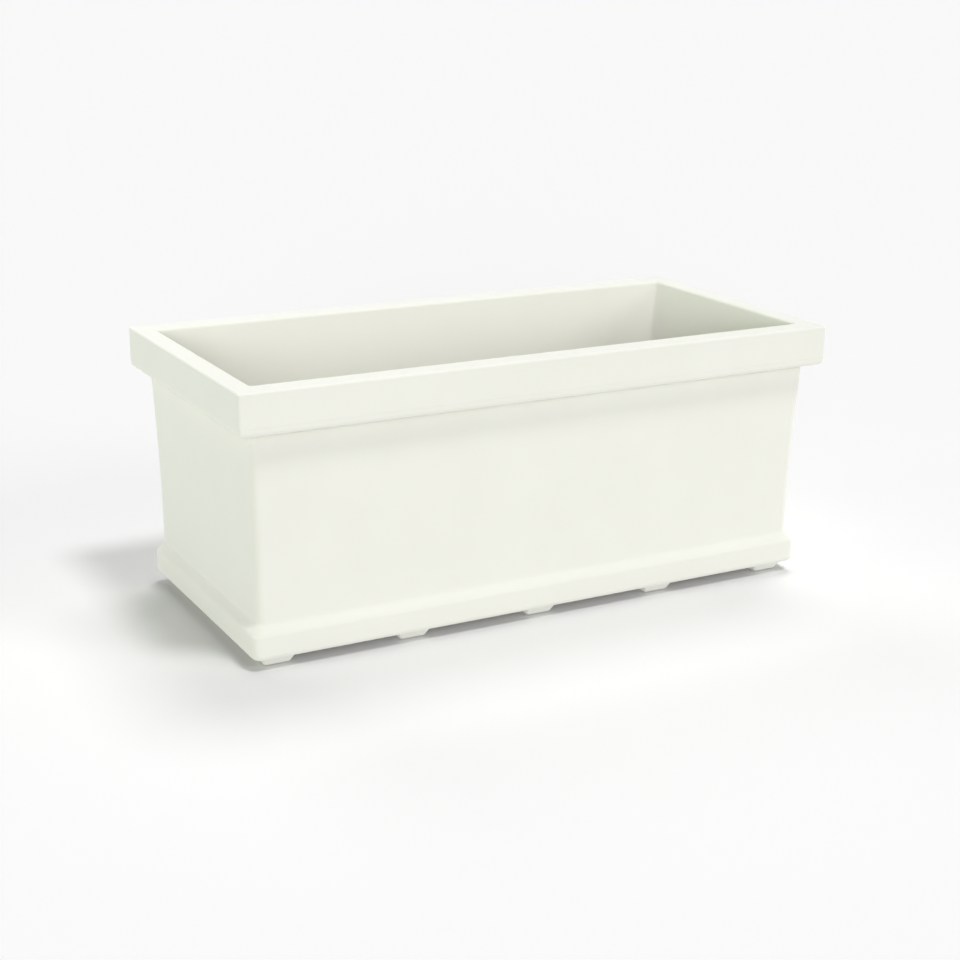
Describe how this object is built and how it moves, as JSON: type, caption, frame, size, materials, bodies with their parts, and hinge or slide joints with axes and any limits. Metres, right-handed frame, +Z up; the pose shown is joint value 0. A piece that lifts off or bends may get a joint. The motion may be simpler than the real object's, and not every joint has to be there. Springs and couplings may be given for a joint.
{
  "type": "trough planter",
  "caption": "Rectangular double-wall trough planter with an overhanging rim, a flared plinth, skid feet, drain plugs and lift-out drainage platforms.",
  "frame": {"origin": "on the ground under the middle of the planter", "axes": "+X along the long side, to the right seen from the front; +Y from the front to the back; +Z up"},
  "size_m": [0.915, 0.436, 0.383],
  "materials": {
    "casing_resin": "satin moulded resin, warm ivory",
    "tub_resin": "satin moulded resin, warm ivory",
    "skid_resin": "satin moulded resin, warm ivory",
    "pan_resin": "rough moulded resin, warm grey",
    "platform_resin": "grained moulded resin, pale grey",
    "fitting_resin": "smooth moulded resin, dark grey",
    "plug_resin": "smooth moulded resin, near black",
    "gasket_rubber": "matt sheet rubber",
    "seal_rubber": "matt moulded rubber",
    "screw_steel": "stainless, turned"
  },
  "bodies": {
    "planter": {"outer_casing": "casing_resin", "inner_tub": "tub_resin", "base_pan": "pan_resin", "foot_skid_1": "skid_resin", "foot_skid_2": "skid_resin", "foot_skid_3": "skid_resin", "foot_skid_4": "skid_resin", "foot_skid_5": "skid_resin", "skid_screws": "screw_steel", "pan_screws": "screw_steel", "drain_spigot_left": "fitting_resin", "drain_spigot_right": "fitting_resin", "spigot_gasket_left": "gasket_rubber", "spigot_gasket_right": "gasket_rubber", "spigot_nut_left": "fitting_resin", "spigot_nut_right": "fitting_resin"},
    "platform_left": {"drain_platform_left": "platform_resin"},
    "platform_right": {"drain_platform_right": "platform_resin"},
    "plug_left": {"drain_plug_left": "plug_resin", "plug_seal_left": "seal_rubber"},
    "plug_right": {"drain_plug_right": "plug_resin", "plug_seal_right": "seal_rubber"}
  },
  "joints": [
    {"name": "platform_left_lift", "type": "slide", "parent": "planter", "child": "platform_left", "axis": [0, 0, 1], "range_m": [0, 0.3]},
    {"name": "platform_right_lift", "type": "slide", "parent": "planter", "child": "platform_right", "axis": [0, 0, 1], "range_m": [0, 0.3]},
    {"name": "plug_left_pull", "type": "slide", "parent": "planter", "child": "plug_left", "axis": [0, 0, 1], "range_m": [0, 0.02]},
    {"name": "plug_right_pull", "type": "slide", "parent": "planter", "child": "plug_right", "axis": [0, 0, 1], "range_m": [0, 0.02]}
  ]
}
